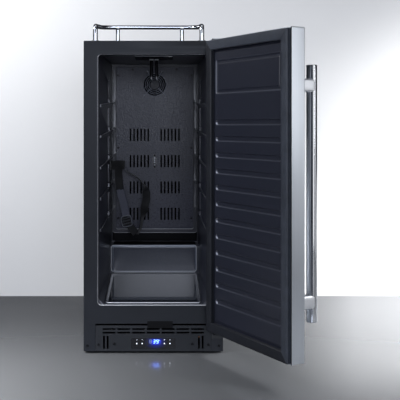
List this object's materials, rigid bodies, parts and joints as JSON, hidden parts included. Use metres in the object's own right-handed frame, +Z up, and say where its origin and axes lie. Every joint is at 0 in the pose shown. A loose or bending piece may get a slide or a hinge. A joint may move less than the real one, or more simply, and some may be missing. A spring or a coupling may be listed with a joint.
{
  "type": "built-in kegerator",
  "caption": "Built-in beer keg cooler with a hinged stainless door standing open, tube handle, guard rail on top, insulated cabinet, slotted base grille and controls.",
  "frame": {"origin": "on the floor, midway between the levelling feet, under the middle of the cabinet", "axes": "+Z up, +Y from the door side to the back of the cabinet, +X to the right of someone facing the door"},
  "size_m": [0.5803, 0.96, 0.9218],
  "materials": {
    "case_paint": "dark charcoal powder coat, satin",
    "galvanised": "plain zinc coated sheet",
    "foam": "rigid foam",
    "liner_plastic": "near black, semi gloss",
    "cover_paint": "fine textured dark grey",
    "fan_plastic": "matt black",
    "black_plastic": "matt black",
    "panel_plastic": "glossy black",
    "webbing": "woven black webbing",
    "bright_metal": "bright plated",
    "anchor_metal": "black",
    "aluminium_sheet": "plain",
    "pipe_metal": "copper coloured tube",
    "compressor_paint": "gloss black enamel",
    "rubber": "soft black",
    "lens": "dark clear window",
    "board": "circuit board",
    "polished_steel": "polished stainless",
    "brushed_steel": "brushed stainless",
    "drain_plastic": "grey tube"
  },
  "bodies": {
    "cabinet": {"back_cover": "cover_paint", "back_frame": "liner_plastic", "base_pan": "case_paint", "bottom_hinge": "case_paint", "case_back": "galvanised", "ceiling_plate": "cover_paint", "compressor": "compressor_paint", "compressor_grommets": "rubber", "condenser_coil": "pipe_metal", "condenser_fan_housing": "fan_plastic", "condenser_fins": "aluminium_sheet", "control_box": "black_plastic", "control_housing": "panel_plastic", "cord_gland": "black_plastic", "display_board": "board", "display_lens": "lens", "drain_tube": "drain_plastic", "drip_pan": "black_plastic", "evaporator_coil": "pipe_metal", "evaporator_fins": "aluminium_sheet", "fan_guard": "fan_plastic", "fan_housing": "fan_plastic", "grille": "case_paint", "guard_rail": "polished_steel", "insulation": "foam", "line_tubes": "black_plastic", "liner": "liner_plastic", "liquid_pipe": "pipe_metal", "outer_case": "case_paint", "rail_flanges": "polished_steel", "rear_cover": "galvanised", "screws": "bright_metal", "sensor_block": "black_plastic", "strap": "webbing", "strap_anchor": "anchor_metal", "strap_buckle": "black_plastic", "suction_pipe": "pipe_metal", "temperature_probe": "bright_metal", "top_hinge": "galvanised", "tower_sleeve": "black_plastic", "tube_collars": "bright_metal", "tube_tips": "bright_metal", "under_plate": "case_paint"},
    "door": {"door_skin": "brushed_steel", "door_foam": "foam", "door_liner": "liner_plastic", "gasket": "rubber", "hinge_bushes": "black_plastic", "handle_tube": "polished_steel", "handle_posts": "brushed_steel"},
    "circulation_fan": {"fan_rotor": "fan_plastic"},
    "condenser_fan": {"condenser_fan_rotor": "fan_plastic"},
    "foot_left_front": {"foot_left_front": "rubber"},
    "foot_right_front": {"foot_right_front": "rubber"},
    "foot_left_rear": {"foot_left_rear": "rubber"},
    "foot_right_rear": {"foot_right_rear": "rubber"},
    "button_first": {"button_first": "panel_plastic"},
    "button_second": {"button_second": "panel_plastic"},
    "button_third": {"button_third": "panel_plastic"},
    "button_fourth": {"button_fourth": "panel_plastic"}
  },
  "joints": [
    {"name": "door_hinge", "type": "hinge", "parent": "cabinet", "child": "door", "pos_m": [0.174, -0.329, 0.4564], "axis": [0, 0, 1], "range_deg": [-117, 0]},
    {"name": "circulation_fan_spin", "type": "hinge", "parent": "cabinet", "child": "circulation_fan", "pos_m": [0, 0.222, 0.751], "axis": [0, 1, 0], "continuous": true},
    {"name": "condenser_fan_spin", "type": "hinge", "parent": "cabinet", "child": "condenser_fan", "pos_m": [0, -0.155, 0.047], "axis": [0, 1, 0], "continuous": true},
    {"name": "foot_left_front_screw", "type": "slide", "parent": "cabinet", "child": "foot_left_front", "axis": [0, 0, 1], "range_m": [-0.016, 0]},
    {"name": "foot_right_front_screw", "type": "slide", "parent": "cabinet", "child": "foot_right_front", "axis": [0, 0, 1], "range_m": [-0.016, 0]},
    {"name": "foot_left_rear_screw", "type": "slide", "parent": "cabinet", "child": "foot_left_rear", "axis": [0, 0, 1], "range_m": [-0.016, 0]},
    {"name": "foot_right_rear_screw", "type": "slide", "parent": "cabinet", "child": "foot_right_rear", "axis": [0, 0, 1], "range_m": [-0.016, 0]},
    {"name": "button_first_press", "type": "slide", "parent": "cabinet", "child": "button_first", "axis": [0, 1, 0], "range_m": [0, 0.0008], "stiffness_N_per_m": 600},
    {"name": "button_second_press", "type": "slide", "parent": "cabinet", "child": "button_second", "axis": [0, 1, 0], "range_m": [0, 0.0008], "stiffness_N_per_m": 600},
    {"name": "button_third_press", "type": "slide", "parent": "cabinet", "child": "button_third", "axis": [0, 1, 0], "range_m": [0, 0.0008], "stiffness_N_per_m": 600},
    {"name": "button_fourth_press", "type": "slide", "parent": "cabinet", "child": "button_fourth", "axis": [0, 1, 0], "range_m": [0, 0.0008], "stiffness_N_per_m": 600}
  ]
}
